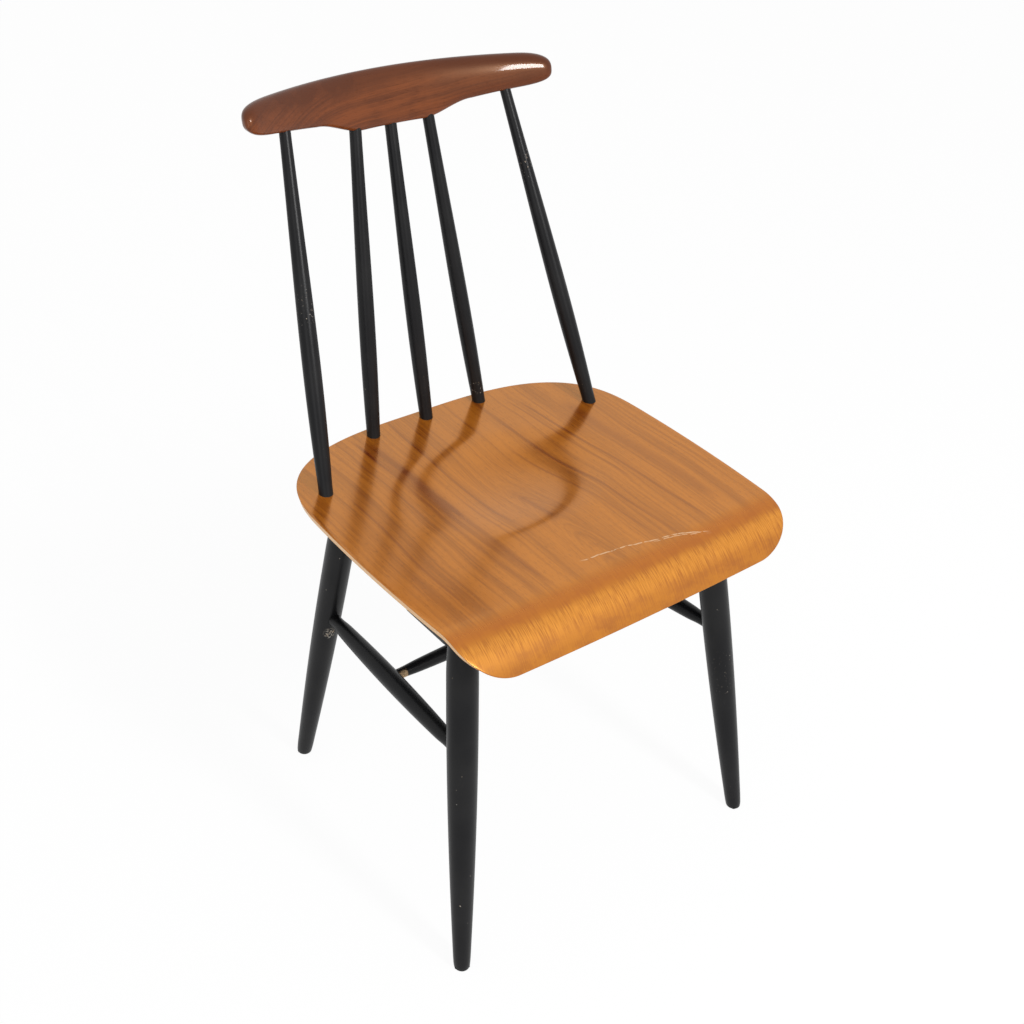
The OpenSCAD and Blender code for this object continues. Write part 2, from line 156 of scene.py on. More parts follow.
class ChairStage(bpy.types.PropertyGroup):
    azimuth: angle("Azimuth", "Where the camera stands round the chair", -40.72)
    elevation: angle("Elevation", "Camera above the horizon", 34.53)
    roll: angle("Roll", "Turn of the camera about its view", 4.54)
    distance: length("Distance", "From the camera to the point it looks at", 1.60177)
    look_at: FloatVectorProperty(
        name="Look at",
        description="Point the camera looks at",
        default=(0.00185, -0.019, 0.39247),
        subtype="TRANSLATION",
        unit="LENGTH",
    )
    lens: number("Lens", "Focal length in millimetres", 50.547, min=1.0)


# ---- points of the chair


def sizes():
    scene = bpy.context.scene
    return scene.chair_seat, scene.chair_back, scene.chair_legs


RIM = 0.4375
BATTEN_Z = RIM - 0.031
BOWL_HALF_X, BOWL_HALF_Y, BOWL_Y = 0.150, 0.096, -0.010
OUTER_FOOT, OUTER_HEAD = Vector((0.1849, 0.070, RIM + 0.0012)), Vector((0.1414, 0.2108, RIM + 0.339))
INNER_FOOT, INNER_HEAD = Vector((0.0751, 0.1433, RIM - 0.0046)), Vector((0.0475, 0.2254, RIM + 0.3185))
MID_FOOT, MID_HEAD = Vector((0, 0.1462, RIM - 0.0032)), Vector((0, 0.2286, RIM + 0.3165))
FRONT_FOOT, FRONT_HEAD = Vector((0.211, -0.2427, 0)), Vector((0.1686, -0.1558, BATTEN_Z))
REAR_FOOT, REAR_HEAD = Vector((0.1775, 0.139, 0)), Vector((0.1553, 0.0732, BATTEN_Z))


def at_height(a, b, z):
    return a + (b - a) * ((z - a.z) / (b.z - a.z))


FRONT_JOINT = at_height(FRONT_FOOT, FRONT_HEAD, 0.259)
REAR_JOINT = at_height(REAR_FOOT, REAR_HEAD, 0.2416)
CROSS_JOINT = REAR_JOINT + (FRONT_JOINT - REAR_JOINT) * 0.49


def left(p):
    return Vector((-p.x, p.y, p.z))


def smooth_step(u):
    u = np.clip(u, 0, 1)
    return u * u * (3 - 2 * u)


# ---- shader helpers


class Wire:
    """A socket that takes part in Python expressions; each operation adds a Math node."""

    def __init__(self, tree, socket):
        self.tree, self.socket = tree, socket

    def math(self, operation, *others):
        return self.tree.node("ShaderNodeMath", {"operation": operation}, dict(enumerate((self, *others))))

    def __add__(self, other):
        return self.math("ADD", other)

    def __sub__(self, other):
        return self.math("SUBTRACT", other)

    def __rsub__(self, other):
        return self.tree.node("ShaderNodeMath", {"operation": "SUBTRACT"}, {0: other, 1: self})

    def __mul__(self, other):
        return self.math("MULTIPLY", other)

    def __truediv__(self, other):
        return self.math("DIVIDE", other)

    __radd__, __rmul__ = __add__, __mul__

    def abs(self):
        return self.math("ABSOLUTE")

    def clamp(self):
        return self.tree.node("ShaderNodeClamp", {}, {0: self})

    def step(self, low, high):
        """0 below low, 1 above high, smooth between; low above high turns it round."""
        return self.tree.node(
            "ShaderNodeMapRange",
            {"interpolation_type": "SMOOTHSTEP"},
            {"Value": self, "From Min": low, "From Max": high},
        )


class Finish:
    """The nodes of a material or of the world, made by one method."""

    def __init__(self, name, world=None):
        self.colours = bpy.context.scene.chair_colours
        self.material = world or bpy.data.materials.new(name)
        self.material.use_nodes = True
        self.nodes = self.material.node_tree.nodes
        self.links = self.material.node_tree.links
        self.nodes.clear()
        self.out = self.nodes.new("ShaderNodeOutputWorld" if world else "ShaderNodeOutputMaterial")

    def node(self, kind, settings, values, output=0):
        made = self.nodes.new(kind)
        for key, value in settings.items():
            setattr(made, key, value)
        for key, value in values.items():
            if isinstance(value, Wire):
                self.links.new(value.socket, made.inputs[key])
            else:
                made.inputs[key].default_value = value
        return Wire(self, made.outputs[output])

    def mix(self, low, high, factor):
        """Colour between low and high."""
        a, b = (v if isinstance(v, Wire) else (*tuple(v)[:3], 1) for v in (low, high))
        return self.node("ShaderNodeMix", {"data_type": "RGBA"}, {0: factor, 6: a, 7: b}, output=2)

    def noise(self, vector, scale=1.0, detail=3.0, rough=0.55):
        values = {"Vector": vector, "Scale": scale, "Detail": detail, "Roughness": rough}
        return self.node("ShaderNodeTexNoise", {}, values)

    def stretch(self, vector, by):
        return self.node("ShaderNodeMapping", {}, {"Vector": vector, "Scale": by})

    def object_coords(self):
        return self.node("ShaderNodeTexCoord", {}, {}, output=3)

    def uv(self, name):
        return self.node("ShaderNodeUVMap", {"uv_map": name}, {})

    def split(self, vector):
        made = self.nodes.new("ShaderNodeSeparateXYZ")
        self.links.new(vector.socket, made.inputs[0])
        return tuple(Wire(self, o) for o in made.outputs)

    def join(self, x, y, z=0.0):
        return self.node("ShaderNodeCombineXYZ", {}, {0: x, 1: y, 2: z})

    def bump(self, height, strength, distance):
        return self.node("ShaderNodeBump", {}, {"Height": height, "Strength": strength, "Distance": distance})

    def white_rays(self):
        """1 for rays from the camera, off a gloss or through a clear piece, 0 for the rest."""
        rays = self.nodes.new("ShaderNodeLightPath")
        kinds = ("Is Camera Ray", "Is Glossy Ray", "Is Transmission Ray")
        seen, mirrored, through = (Wire(self, rays.outputs[kind]) for kind in kinds)
        return (seen + mirrored + through).clamp()

    def finish(self, shader):
        self.links.new(shader.socket, self.out.inputs[0])
        return self.material

    def surface(self, values):
        return self.finish(self.node("ShaderNodeBsdfPrincipled", {}, values))


# ---- finishes


PALE_SCUFF = (0.42, 0.40, 0.36)

# dark streaks of the seat: place across, half width, share, first and last station, lean
STREAKS = (
    (-0.086, 0.010, 1.0, -0.13, 0.0, 0.02),
    (-0.083, 0.005, 0.7, 0.0, 0.15),
    (-0.103, 0.0035, 0.6, -0.15, 0.16),
    (-0.094, 0.006, 0.6, -0.14, 0.13, 0.05),
    (-0.120, 0.0022, 0.45, -0.12, 0.10, 0.03),
    (-0.047, 0.0028, 0.8, -0.16, 0.04),
    (-0.172, 0.003, 0.7, -0.05, 0.13),
    (0.076, 0.0036, 0.9, -0.10, 0.16, 0.07),
    (0.052, 0.0024, 0.6, -0.05, 0.14, 0.10),
    (0.124, 0.0034, 0.85, -0.12, 0.15, 0.06),
    (0.162, 0.013, 0.65, -0.09, 0.13, 0.03),
    (-0.005, 0.0065, 0.8, 0.02, 0.07),
    (0.112, 0.0024, 0.7, -0.13, 0.05, 0.05),
)


def teak_veneer():
    """Honey teak veneer under a glossy lacquer; the grain runs from back to front."""
    f = Finish("teak_veneer")
    x, t, _ = f.split(f.uv("sheet"))
    # slow waves bend the grain a little
    slow = f.noise(f.join(x * 3.0, t * 2.6), 1.6, 2.0)
    bent = x + (slow - 0.5) * 0.026
    bands = f.noise(f.join(bent * 34.0, t * 0.8), 1.0, 3.0, 0.6)
    straight = f.noise(f.join(bent * 210.0, t * 2.4, 3.0), 1.0, 3.0, 0.62)
    hair = f.noise(f.join(x * 950.0, t * 26.0, 7.0), 1.0, 2.0, 0.6)
    # arches of the cathedral figure, which open towards the front
    off = bent + 0.004
    arch = t - off * off * 190.0
    arches = f.noise(f.join(arch * 62.0 + bands * 0.8, 5.0), 1.0, 2.0, 0.55)
    heart = off.abs().step(0.052, 0.026) * t.step(-0.10, -0.02)
    lines = straight + (arches - straight) * heart * 0.75
    tone = (bands * 0.42 + lines * 0.40 + hair * 0.18).step(0.39, 0.57)
    wood = f.mix((0.20, 0.047, 0.004), f.colours.veneer_light, tone)

    def streak(at, width, share, rear, fore, lean=0.0):
        near = (bent - at - t * lean).abs().step(width, width * 0.15)
        window = t.step(rear - 0.03, rear + 0.01) * t.step(fore + 0.03, fore - 0.01)
        return near * window * straight.step(0.22, 0.55) * share

    dark = streak(*STREAKS[0])
    for row in STREAKS[1:]:
        dark = dark + streak(*row)
    wood = f.mix(wood, f.colours.veneer_dark, dark.clamp() * 0.95)
    pores = f.noise(f.join(x * 1300.0, t * 120.0, 2.0), 1.0, 1.0).step(0.40, 0.29)
    wood = f.mix(wood, (0.11, 0.022, 0.004), pores * 0.6)
    # the bent fibres of the lip are more golden, with brown patches
    lip = t.step(0.166, 0.192)
    fibre = f.noise(f.join(x * 850.0, t * 34.0, 1.0), 1.0, 3.0, 0.6)
    patch = f.noise(f.join(x * 34.0, t * 60.0, 2.0), 1.0, 3.0, 0.6)
    gold = f.mix((0.17, 0.028, 0.001), f.colours.lip_gold, (fibre * 0.5 + patch * 0.5).step(0.38, 0.58))
    # painted highlight: a golden sheen across the crown of the bend, standing in for the fibres' reflection
    # of the light
    painted_sheen_band = t.step(0.190, 0.203) * t.step(0.224, 0.208)
    gold = f.mix(gold, (0.60, 0.24, 0.03), painted_sheen_band * fibre.step(0.34, 0.62) * 0.75)
    gold = f.mix(gold, f.colours.veneer_dark, dark.clamp() * 0.3)
    wood = f.mix(wood, gold, lip * 0.85)
    # painted shade: a darker band along the fold of the bend, standing in for the fibres' dark reflection
    # there
    painted_dark_band = t.step(0.170, 0.184) * t.step(0.200, 0.188)
    wood = f.mix(wood, (0.25, 0.042, 0.002), painted_dark_band * 0.55)
    # thin pale scratches near the front bend, in two strokes
    wobble = f.noise(f.join(x * 30.0, 4.0))
    trail = t - 0.1545 - x * 0.13 - (x * x) * 0.95 - (wobble - 0.5) * 0.010
    broken = f.noise(f.join(x * 160.0, t * 160.0), 1.0, 2.0)
    reach = x.step(-0.034, -0.022) * x.step(0.124, 0.108)
    scratch = trail.abs().step(0.0012, 0.0003) * broken.step(0.38, 0.52) * reach
    second = (trail - 0.0026).abs().step(0.0008, 0.0002) * broken.step(0.42, 0.56)
    scratch = (scratch + second * x.step(0.050, 0.066) * x.step(0.124, 0.108)).clamp()
    wood = f.mix(wood, (0.62, 0.47, 0.33), scratch * 0.75)
    height = lines * 0.25 + hair * 0.35 - pores * 0.3 - scratch * 0.6
    return f.surface({
        "Base Color": wood,
        "Roughness": hair * 0.08 + 0.14 + scratch * 0.3 + lip * 0.14,
        "IOR": 2.05,
        "Specular IOR Level": 1.0,
        "Specular Tint": (1.0, 0.48, 0.13, 1.0),
        "Normal": f.bump(height, 0.07, 0.0004),
        "Coat Weight": 0.22 - scratch * 0.14 - lip * 0.14,
        "Coat Roughness": 0.12,
        "Coat IOR": 1.45,
    })


def birch_plies():
    """Cut edge of the plywood: light plies with their grain turned in turn."""
    f = Finish("birch_plies")
    along, depth, _ = f.split(f.uv("sheet"))
    ply_thick = 0.0013
    ring = (depth.math("PINGPONG", ply_thick) / ply_thick).step(0.35, 0.65)
    spots = f.noise(f.join(along * 260.0, depth * 900.0))
    tint = f.mix(f.colours.birch, (0.60, 0.34, 0.14), ring * 0.35 + spots.step(0.45, 0.7) * 0.25)
    return f.surface({
        "Base Color": tint,
        "Roughness": 0.42 + spots * 0.15,
        "Normal": f.bump(spots + ring, 0.12, 0.0003),
        "Coat Weight": 0.25,
        "Coat Roughness": 0.25,
    })


def birch_veneer():
    """Light veneer that shows at the edge below the plies, grain from back to front."""
    f = Finish("birch_veneer")
    x, t, _ = f.split(f.uv("sheet"))
    bent = x + (f.noise(f.join(x * 4.0, t * 3.0), 1.0, 2.0) - 0.5) * 0.03
    figure = f.noise(f.join(bent * 60.0, t * 2.0), 1.0, 4.0, 0.6)
    hair = f.noise(f.join(x * 800.0, t * 30.0), 1.0, 2.0)
    tint = f.mix((0.50, 0.27, 0.11), f.colours.birch, (figure * 0.7 + hair * 0.3).step(0.32, 0.6))
    return f.surface({
        "Base Color": tint,
        "Roughness": 0.45 + hair * 0.15,
        "Normal": f.bump(hair + figure * 0.5, 0.12, 0.0003),
        "Coat Weight": 0.2,
        "Coat Roughness": 0.3,
    })


def solid_teak():
    """Red-brown solid teak of the crest rail under a glossy lacquer."""
    f = Finish("solid_teak")
    x, y, z = f.split(f.object_coords())
    low = f.noise(f.join(x * 5.0, y * 6.0, z * 9.0), 1.0, 2.0)
    # the grain runs along the rail, and sweeps up in loops at its left end
    sweep = (x + 0.05).step(0.06, -0.10)
    knot = (x + 0.02) * (x + 0.02) * 2.4
    across = z + y * 0.5 + (low - 0.5) * 0.03 + sweep * knot - x * 0.05
    lines = f.noise(f.join(x * 7.0 + 2.0, across * 520.0, 2.0), 1.0, 4.0, 0.62)
    bands = f.noise(f.join(x * 3.5, across * 110.0, 5.0), 1.0, 3.0, 0.6)
    pores = f.noise(f.join(x * 70.0, y * 900.0, z * 900.0), 1.0, 2.0, 0.6)
    mottle = f.noise(f.object_coords(), 26.0)
    tone = (lines * 0.3 + bands * 0.4 + mottle * 0.2 + pores * 0.1).step(0.40, 0.58)
    wood = f.mix(f.colours.rail_dark, f.colours.rail_light, tone * 0.7 + 0.3)
    wood = f.mix(wood, (0.06, 0.016, 0.006), pores.step(0.40, 0.30) * 0.4)
    # painted shade along the top edge; the wood is also darker towards the right end and in dark patches at
    # the left of the top
    top_dark_patches = (x.step(-0.03, -0.07) * z.step(0.785, 0.80) * mottle.step(0.42, 0.56)).clamp()
    top_shade_end_and_patches = (z.step(0.795, 0.810) * 0.8 + x.step(0.02, 0.15) * 0.55 + top_dark_patches * 0.6).clamp()
    wood = f.mix(wood, (0.070, 0.015, 0.004), top_shade_end_and_patches)
    height = lines * 0.3 + pores * 0.5
    return f.surface({
        "Base Color": wood,
        "Roughness": pores * 0.12 + 0.26,
        "Specular IOR Level": 0.3,
        "Specular Tint": (1.0, 0.55, 0.3, 1.0),
        "Normal": f.bump(height, 0.07, 0.0004),
        "Coat Weight": 0.40 - pores.step(0.4, 0.3) * 0.2,
        "Coat Roughness": 0.07,
        "Coat IOR": 1.45,
    })


def spot(f, at, radius, stretch_z=1.0):
    """1 inside a small place on a piece, fading to 0 outside it."""
    x, y, z = f.split(f.object_coords())
    dx, dy, dz = x - at[0], y - at[1], (z - at[2]) / stretch_z
    far = (dx * dx + dy * dy + dz * dz).math("SQRT")
    return far.step(radius, radius * 0.4)


def black_paint(name, chips=(), bare_end=None, scuff=None):
    """Satin black paint over turned wood, with small chips where it has been knocked."""
    f = Finish(name)
    place = f.object_coords()
    cloud = f.noise(place, 14.0)
    grain = f.noise(f.stretch(place, (1.0, 1.0, 0.08)), 700.0, 2.0)
    dust = f.noise(place, 900.0, 2.0, 0.7)
    worn = cloud.step(0.4, 0.7) * 0.55 + dust.step(0.60, 0.78) * 0.35
    tint = f.mix(f.colours.paint, (0.014, 0.0138, 0.014), worn)
    flake = f.noise(place, 420.0, 3.0, 0.7)
    lost = f.noise(place, 230.0, 1.0, 0.5).step(0.225, 0.195) * cloud.step(0.54, 0.66)
    for at, radius, long, share in chips:
        lost = lost + spot(f, at, radius, long) * flake.step(share, share - 0.06)
    if bare_end is not None:
        x, y, z = f.split(place)
        ragged = (flake - 0.5) * 0.005
        near = (x + ragged).step(bare_end + 0.0046, bare_end + 0.0024)
        low = (z - CROSS_JOINT.z + ragged).step(0.0060, 0.0030)
        lost = lost + near * low * 1.3
    lost = lost.clamp()
    wood = f.mix((0.30, 0.20, 0.11), scuff or f.colours.bare, dust.step(0.3, 0.6))
    tint = f.mix(tint, wood, lost)
    return f.surface({
        "Base Color": tint,
        "Roughness": cloud * 0.14 + 0.27 + lost * 0.25,
        "Normal": f.bump(grain * 0.6 + dust * 0.25 - lost * 1.2, 0.10, 0.0004),
        "Specular IOR Level": 0.17,
    })


def plain_steel():
    """Turned steel of the screw heads, a little dull."""
    f = Finish("screw_steel")
    place = f.object_coords()
    stain = f.noise(place, 320.0)
    return f.surface({
        "Base Color": f.mix((0.30, 0.26, 0.22), f.colours.steel, stain.step(0.3, 0.6)),
        "Metallic": 1.0,
        "Roughness": 0.3 + stain * 0.25,
        "Normal": f.bump(stain, 0.15, 0.0002),
    })


# ---- mesh helpers


def link(name, data):
    made = bpy.data.objects.new(name, data)
    bpy.context.scene.collection.objects.link(made)
    return made


def smooth(mesh, degrees):
    mesh.shade_smooth()
    mesh.set_sharp_from_angle(angle=math.radians(degrees))


def evaluated(piece):
    """A new mesh of the piece with its modifiers applied."""
    bpy.context.view_layer.update()
    graph = bpy.context.evaluated_depsgraph_get()
    return bpy.data.meshes.new_from_object(piece.evaluated_get(graph))


def new_mesh_object(name, points, faces, material, smooth_angle=40):
    mesh = bpy.data.meshes.new(name)
    mesh.from_pydata([tuple(p) for p in points], [], [tuple(q) for q in faces])
    mesh.materials.append(material)
    smooth(mesh, smooth_angle)
    return link(name, mesh)


def face_outwards(mesh, edit=None):
    """Turns the faces of a mesh outwards, after an edit if there is one."""
    work = bmesh.new()
    work.from_mesh(mesh)
    if edit:
        edit(work)
    bmesh.ops.recalc_face_normals(work, faces=work.faces)
    work.to_mesh(mesh)
    work.free()


def settle(piece, slot, *nodes):
    """Puts a piece on its body, in place of its nodes of the model; the slot is not used."""
    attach(piece, BODY)
    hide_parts(*nodes)


# ---- the pressed seat


class Sheet:
    """The pressed sheet: x across, station t from back to front, depth d below the face."""

    def __init__(self):
        s = bpy.context.scene.chair_seat
        self.s = s
        self.arc = s.lip_radius * s.lip_angle
        self.front = s.flat + self.arc + s.lip_end

    def half(self, t):
        s = self.s
        u = np.clip((s.rear_corner_d - s.back - t) / s.rear_corner_d, 0, 1)
        rear = s.rear_corner_w * (1 - np.maximum(0, 1 - u**s.rear_full) ** (1 / s.rear_full))
        v = np.clip((t - self.front + s.front_corner) / s.front_corner, 0, 1)
        fore = s.front_corner * (1 - np.sqrt(np.maximum(0, 1 - v * v)))
        # the sides bulge a little: widest at one station, and this much narrower a reach away
        widest, reach, narrower = 0.05, 0.15, 0.0058
        return s.half_width - narrower * ((t - widest) / reach) ** 2 - rear - fore

    def point(self, x, t, d):
        s = self.s
        a = np.clip((t - s.flat) / s.lip_radius, 0, s.lip_angle)
        run = np.maximum(0, t - s.flat - self.arc)
        y = s.middle_y - np.minimum(t, s.flat) - (s.lip_radius - d) * np.sin(a) - run * np.cos(a)
        z = s.rim_height - s.lip_radius + (s.lip_radius - d) * np.cos(a) - run * np.sin(a)
        q = (x / BOWL_HALF_X) ** 2 + ((y - BOWL_Y) / BOWL_HALF_Y) ** 2
        bowl = s.bowl * np.maximum(0, 1 - q) ** 2
        return np.stack([x, y, z - s.sag * (1 - (x / s.half_width) ** 2) - bowl], -1)

    def stations(self):
        s = self.s
        rear = s.rear_corner_d * (1 - np.cos(np.radians(np.linspace(0, 90, 37)))) - s.back
        middle = np.linspace(s.rear_corner_d - s.back, s.flat, 40)[1:]
        fore = s.flat + (self.front - s.flat) * np.sin(np.radians(np.linspace(0, 90, 37)))[1:]
        return np.concatenate([rear, middle, fore])

    def inset(self, d):
        """The edge is eased above and below, and slopes in between."""
        s = self.s
        ease = 0.0007
        top = ease - math.sqrt(max(0, ease**2 - max(0, ease - d) ** 2))
        low = ease - math.sqrt(max(0, ease**2 - max(0, d - s.thickness + ease) ** 2))
        return s.undercut * d / s.thickness + top + low

    def layer(self, name, depths, material, edge_wise=False):
        """A closed layer of the sheet between its first and last depth."""
        s = self.s
        n = s.columns
        ts = self.stations()
        span = self.front + s.back
        # columns crowd towards the sides, where the corners turn
        u = np.sin(np.linspace(-math.pi / 2, math.pi / 2, n + 1)) * 0.35 + np.linspace(-1, 1, n + 1) * 0.65

        def grid(d):
            i = self.inset(d)
            tt = (ts + s.back) / span * (span - 2 * i) - s.back + i
            x = (self.half(ts)[:, None] - i) * u[None, :]
            t = np.repeat(tt[:, None], n + 1, 1)
            return self.point(x, t, d), x, t

        rows, cols = len(ts), n + 1
        rim = (
            [(0, c) for c in range(cols)]
            + [(r, cols - 1) for r in range(1, rows)]
            + [(rows - 1, c) for c in range(cols - 2, -1, -1)]
            + [(r, 0) for r in range(rows - 2, 0, -1)]
        )
        points, sheet_uv, faces, corner_uv = [], [], [], []
        for d in (depths[0], depths[-1]):
            p, x, t = grid(d)
            points += list(p.reshape(-1, 3))
            sheet_uv += list(np.stack([x, t], -1).reshape(-1, 2))
        size = rows * cols
        loops = [[r * cols + c for r, c in rim]]
        for d in depths[1:-1]:
            p, x, t = grid(d)
            start = len(points)
            points += [p[r, c] for r, c in rim]
            sheet_uv += [(x[r, c], t[r, c]) for r, c in rim]
            loops.append(list(range(start, start + len(rim))))
        loops.append([size + r * cols + c for r, c in rim])
        for r in range(rows - 1):
            for c in range(cols - 1):
                k = r * cols + c
                for quad in (
                    (k, k + cols, k + cols + 1, k + 1),
                    (size + k, size + k + 1, size + k + cols + 1, size + k + cols),
                ):
                    faces.append(quad)
                    corner_uv += [sheet_uv[v] for v in quad]
        m = len(rim)
        # run of the rim, so that the plies can be drawn round the edge
        ring = np.array([points[v] for v in loops[0]])
        run = np.concatenate([[0], np.cumsum(np.linalg.norm(np.roll(ring, -1, 0) - ring, axis=1))])
        for j, (a, b) in enumerate(zip(loops, loops[1:])):
            for k in range(m):
                quad = (a[k], a[(k + 1) % m], b[(k + 1) % m], b[k])
                faces.append(quad)
                if edge_wise:
                    corner_uv += [(run[k + e], depths[j + g]) for e, g in ((0, 0), (1, 0), (1, 1), (0, 1))]
                else:
                    corner_uv += [sheet_uv[v] for v in quad]
        piece = new_mesh_object(name, points, faces, material, 60)
        uv = piece.data.uv_layers.new(name="sheet")
        uv.data.foreach_set("uv", np.array(corner_uv, dtype=np.float32).ravel())
        face_outwards(piece.data)
        return piece


class CHAIR_OT_seat(bpy.types.Operator):
    """Press the plywood seat: teak face, light core and painted underside"""

    bl_idname = "chair.seat"
    bl_label = "Seat"

    def execute(self, context):
        sheet = Sheet()
        s = sheet.s
        v, h = s.veneer, s.thickness
        gap = 0.00002
        eased = [0, 0.0001, 0.00025, 0.00045]
        face = sheet.layer("seat_face", [*eased, v], teak_veneer())
        settle(face, "seat_veneer", "seat_face_veneer")
        core = sheet.layer("seat_plies", list(np.linspace(v + gap, h - v - gap, 9)), birch_plies(), True)
        settle(core, "plywood", "seat_core")
        under = sheet.layer("seat_underside", [h - v, *(h - e for e in reversed(eased))], birch_veneer())
        # its lower face is painted, its edge is left light
        under.data.materials.append(black_paint("paint_seat_underside"))
        count = len(sheet.stations()) * (s.columns + 1)
        for polygon in under.data.polygons:
            if all(count <= k < 2 * count for k in polygon.vertices):
                polygon.material_index = 1
        settle(under, "black_paint", "seat_back_veneer")
        return {"FINISHED"}


# ---- the crest rail


class CHAIR_OT_crest_rail(bpy.types.Operator):
    """Shape the crest rail: bowed in plan, deeper in the middle, with round ends"""

    bl_idname = "chair.crest_rail"
    bl_label = "Crest rail"

    def execute(self, context):
        s, b, _ = sizes()
        top = s.rim_height + b.rail_top
        lowest = top - b.rail_depth
        ring, thick_end = 72, 0.0158

        # the underside steps up past the middle, then rises slowly towards the ends
        step_from, step_run, rise_from, rise = 0.039, 0.063, 0.1, 0.135

        def low(x):
            u = abs(x)
            step = b.rail_step * smooth_step((u - step_from) / step_run)
            return lowest + step + rise * max(0, u - rise_from)

        def rounding(x, r, p):
            """1 along the rail, falling to nothing over its last r; p is the fullness."""
            u = min(1, max(0, (abs(x) - b.rail_half + r) / r))
            return max(0.0002, 1 - u**p) ** (1 / p)

        straight = b.rail_half - b.rail_end
        tail = straight + b.rail_end * np.sin(np.linspace(0, math.pi / 2, 34))
        xs = np.concatenate([np.linspace(0, straight, 56)[:-1], tail])
        xs = np.concatenate([-xs[:0:-1], xs])
        points = []
        for x in xs:
            z0 = low(x)
            half_h = (top - z0) / 2 * rounding(x, b.rail_end, 3.03)
            slant = math.sqrt(1 + (2 * b.rail_bend * x) ** 2)
            half_t = b.rail_thick / 2 * slant * rounding(x, thick_end, 2.46)
            mid = (top + z0) / 2
            for k in range(ring):
                a = 2 * math.pi * k / ring
                ca, sa = math.cos(a), math.sin(a)
                # the top edge is round, the underside blunter
                fat = 0.55 if sa < 0 else 0.92
                z = mid + half_h * math.copysign(abs(sa) ** fat, sa)
                y = half_t * math.copysign(abs(ca) ** fat, ca)
                points.append((x, MID_HEAD.y - b.rail_bend * x * x + b.rail_lean * (z - MID_HEAD.z) + y, z))
        faces = []
        rows = len(xs)
        for r in range(rows - 1):
            for k in range(ring):
                a, c = r * ring + k, r * ring + (k + 1) % ring
                faces.append((a, c, c + ring, a + ring))
        for r in (0, rows - 1):
            centre = len(points)
            points.append(tuple(np.mean(points[r * ring : (r + 1) * ring], axis=0)))
            faces += [(centre, r * ring + k, r * ring + (k + 1) % ring) for k in range(ring)]
        rail = new_mesh_object("crest_rail_teak", points, faces, solid_teak(), 75)
        face_outwards(rail.data)
        settle(rail, "rail_teak", "crest_rail")
        return {"FINISHED"}


# ---- turned pieces


class Tree:
    """A geometry node tree with a material input, made by one method."""

    def __init__(self, name, inputs):
        self.tree = bpy.data.node_groups.new(name, "GeometryNodeTree")
        self.ids = {}
        for label, kind in (*inputs.items(), ("Material", "Material")):
            made = self.tree.interface.new_socket(label, in_out="INPUT", socket_type="NodeSocket" + kind)
            self.ids[label] = made.identifier
        self.tree.interface.new_socket("Geometry", in_out="OUTPUT", socket_type="NodeSocketGeometry")
        self.start = self.tree.nodes.new("NodeGroupInput")
        self.end = self.tree.nodes.new("NodeGroupOutput")

    def input(self, label):
        return self.start.outputs[label]

    def node(self, kind, settings=None, values=None, output=0):
        made = self.tree.nodes.new(kind)
        for key, value in (settings or {}).items():
            setattr(made, key, value)
        for key, value in (values or {}).items():
            if isinstance(value, bpy.types.NodeSocket):
                self.tree.links.new(value, made.inputs[key])
            else:
                made.inputs[key].default_value = value
        self.last = made
        return made.outputs[output]

    def finish(self, geometry):
        real = self.node("GeometryNodeRealizeInstances", {}, {0: geometry})
        painted = self.node("GeometryNodeSetMaterial", {}, {0: real, "Material": self.input("Material")})
        self.tree.links.new(painted, self.end.inputs[0])

    def make(self, name, values):
        """Runs the tree on an empty mesh and returns the result as a plain mesh piece."""
        holder = link(name + "_maker", bpy.data.meshes.new(name + "_maker"))
        modifier = holder.modifiers.new("maker", "NODES")
        modifier.node_group = self.tree
        for label, value in values.items():
            modifier[self.ids[label]] = tuple(value) if isinstance(value, Vector) else value
        mesh = evaluated(holder)
        bpy.data.objects.remove(holder)
        if not len(mesh.polygons):
            raise RuntimeError(f"{name}: the node tree made nothing")
        mesh.name = name
        smooth(mesh, 40)
        piece = link(name, mesh)
        face_outwards(piece.data)
        return piece


def turned_tree(name, profile):
    """A piece turned on a lathe: profile is (share of the length, radius in metres)."""
    t = Tree(name, {"Start": "Vector", "End": "Vector", "Rings": "Int", "Sides": "Int"})
    line = t.node("GeometryNodeCurvePrimitiveLine", {}, {"Start": t.input("Start"), "End": t.input("End")})
    cut = t.node("GeometryNodeResampleCurve", {}, {"Curve": line, "Count": t.input("Rings")})
    share = t.node("GeometryNodeSplineParameter")
    scale = 0.02
    radius = t.node("ShaderNodeFloatCurve", {}, {"Value": share})
    curve = t.last.mapping.curves[0]
    curve.points[0].location = (profile[0][0], profile[0][1] / scale)
    curve.points[1].location = (profile[-1][0], profile[-1][1] / scale)
    for u, r in profile[1:-1]:
        curve.points.new(u, r / scale)
    for point in curve.points:
        point.handle_type = "AUTO_CLAMPED"
    t.last.mapping.update()
    wide = t.node("ShaderNodeMath", {"operation": "MULTIPLY"}, {0: radius, 1: scale})
    shaped = t.node("GeometryNodeSetCurveRadius", {}, {"Curve": cut, "Radius": wide})
    circle = t.node("GeometryNodeCurvePrimitiveCircle", {}, {"Resolution": t.input("Sides"), "Radius": 1.0})
    swept = {"Curve": shaped, "Profile Curve": circle, "Fill Caps": True}
    body = t.node("GeometryNodeCurveToMesh", {}, swept)
    if "Scale" in t.last.inputs:
        t.tree.links.new(wide, t.last.inputs["Scale"])
    t.finish(body)
    return t


def turned_piece(node, foot, head, radii, rings, sides, paint):
    """Turns a piece between two joints; radii are (metres from the foot, radius), hidden ends too."""
    axis = (head - foot).normalized()
    first, last = radii[0][0], radii[-1][0]
    profile = [((s - first) / (last - first), r) for s, r in radii]
    start, end = foot + axis * first, foot + axis * last
    values = {"Start": start, "End": end, "Rings": rings, "Sides": sides, "Material": paint}
    return turned_tree("turned_" + node, profile).make(node + "_turned", values)


